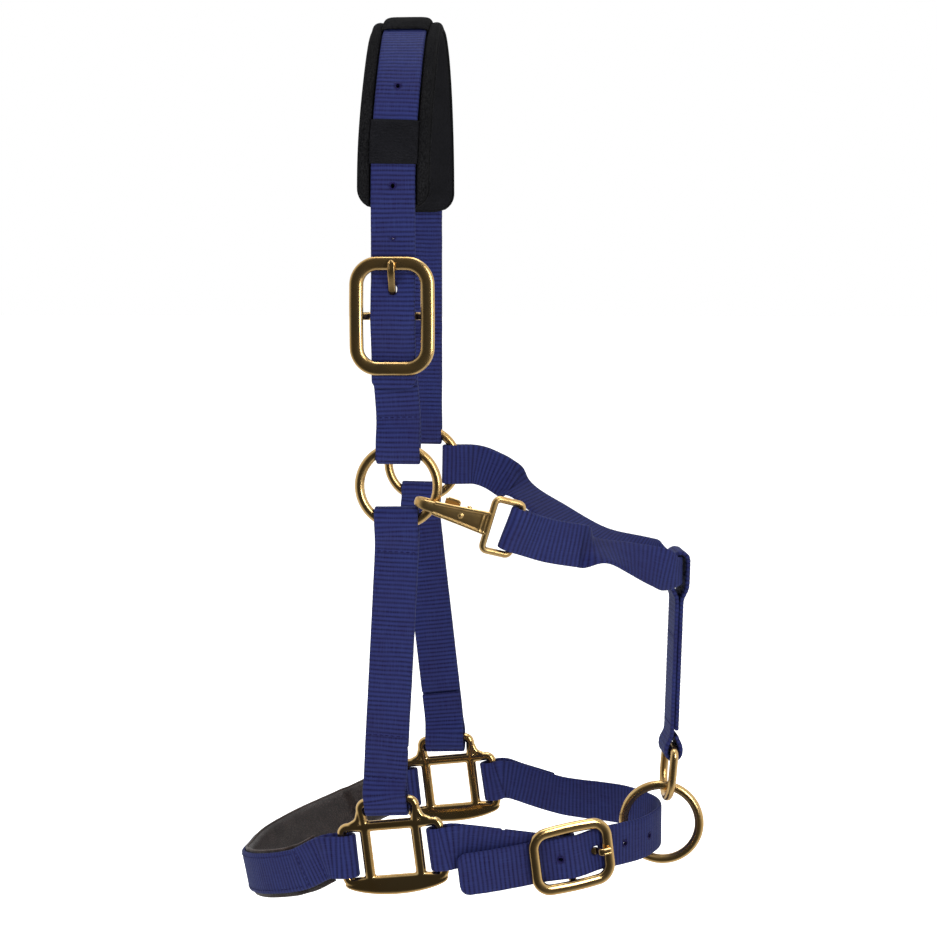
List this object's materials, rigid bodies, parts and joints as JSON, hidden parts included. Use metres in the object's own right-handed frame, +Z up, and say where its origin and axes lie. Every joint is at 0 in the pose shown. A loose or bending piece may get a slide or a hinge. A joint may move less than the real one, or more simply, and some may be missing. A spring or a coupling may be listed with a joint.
{
  "type": "horse halter",
  "caption": "Nylon webbing horse halter with brass rings, squares and buckles, padded crown and nose, throat snap, and chin and connector straps.",
  "frame": {"origin": "the middle of the flat underside of the crown pad's foam, where the halter rests on the horse's poll behind the ears", "axes": "+Z up; +X towards the throat and chin, -X towards the nose tip; +Y to the horse's right (far side), -Y to the horse's left (near side, with the crown buckle and the throat snap)"},
  "size_m": [0.2882, 0.1701, 0.539],
  "materials": {
    "navy_webbing": "ribbed woven nylon, matte",
    "solid_brass": "polished, slightly tarnished",
    "black_elastic": "ribbed woven elastic, matte",
    "black_cover": "matte knitted fabric",
    "pad_foam": "fabric-faced closed-cell foam",
    "nose_lining": "pebbled, matte",
    "spring_steel": "bright"
  },
  "bodies": {
    "crown": {"crown_strap": "navy_webbing", "crown_pad_cover": "black_cover", "crown_pad_foam": "pad_foam", "near_keeper": "black_elastic", "poll_keeper": "black_elastic", "far_keeper": "black_elastic", "crown_buckle_frame": "solid_brass", "crown_buckle_strap": "navy_webbing"},
    "crown_tongue": {"crown_buckle_tongue": "solid_brass"},
    "near_ring": {"near_cheek_ring": "solid_brass"},
    "far_ring": {"far_cheek_ring": "solid_brass"},
    "noseband": {"near_cheek_strap": "navy_webbing", "far_cheek_strap": "navy_webbing", "near_square": "solid_brass", "far_square": "solid_brass", "nose_strap": "navy_webbing", "nose_pad": "nose_lining", "chin_buckle_strap": "navy_webbing", "chin_buckle_frame": "solid_brass", "chin_strap": "navy_webbing", "throat_strap": "navy_webbing"},
    "chin_tongue": {"chin_buckle_tongue": "solid_brass"},
    "connector": {"connector_strap": "navy_webbing"},
    "link": {"connector_link": "solid_brass"},
    "lead": {"lead_ring": "solid_brass"},
    "snap": {"snap_body": "solid_brass", "snap_rivet": "solid_brass", "snap_spring": "spring_steel"},
    "snap_gate": {"snap_lever": "solid_brass"}
  },
  "joints": [
    {"name": "crown_tongue_hinge", "type": "hinge", "parent": "crown", "child": "crown_tongue", "pos_m": [-0.0025, -0.07711, -0.1655], "axis": [0.9975, 0.0712, 0], "range_deg": [0, 3]},
    {"name": "near_ring_turn", "type": "hinge", "parent": "crown", "child": "near_ring", "pos_m": [0, -0.075, -0.2633], "axis": [-0.0712, 0.9975, -0.0027], "continuous": true},
    {"name": "far_ring_turn", "type": "hinge", "parent": "crown", "child": "far_ring", "pos_m": [-0.0107, 0.075, -0.2637], "axis": [-0.0712, 0.9975, -0.0027], "continuous": true},
    {"name": "noseband_swing", "type": "hinge", "parent": "crown", "child": "noseband", "pos_m": [-0.00535, 0, -0.2635], "axis": [-0.0712, 0.9975, -0.0027], "range_deg": [0, 12]},
    {"name": "chin_tongue_hinge", "type": "hinge", "parent": "noseband", "child": "chin_tongue", "pos_m": [0.09819, -0.0584, -0.4816], "axis": [0.1182, 0.0535, -0.9915], "range_deg": [0, 2]},
    {"name": "connector_swing", "type": "hinge", "parent": "noseband", "child": "connector", "pos_m": [0.1588, 0, -0.3188], "axis": [-0.2, 0.9798, 0], "range_deg": [-1.2, 1.2]},
    {"name": "link_swing", "type": "hinge", "parent": "connector", "child": "link", "pos_m": [0.1552, 0, -0.429], "axis": [-0.2, 0.9798, 0], "range_deg": [-6, 6]},
    {"name": "lead_ring_turn", "type": "hinge", "parent": "link", "child": "lead", "pos_m": [0.15, 0, -0.4766], "axis": [0, 1, 0], "continuous": true},
    {"name": "snap_play", "type": "hinge", "parent": "noseband", "child": "snap", "pos_m": [0.0677, -0.06842, -0.28871], "axis": [0.2879, 0, 0.9577], "range_deg": [-1.2, 0.4]},
    {"name": "snap_gate_hinge", "type": "hinge", "parent": "snap", "child": "snap_gate", "pos_m": [0.03954, -0.07108, -0.28025], "axis": [0.2879, 0, 0.9577], "range_deg": [0, 10], "stiffness_Nm_per_rad": 0.01, "springref_deg": -11.46}
  ]
}
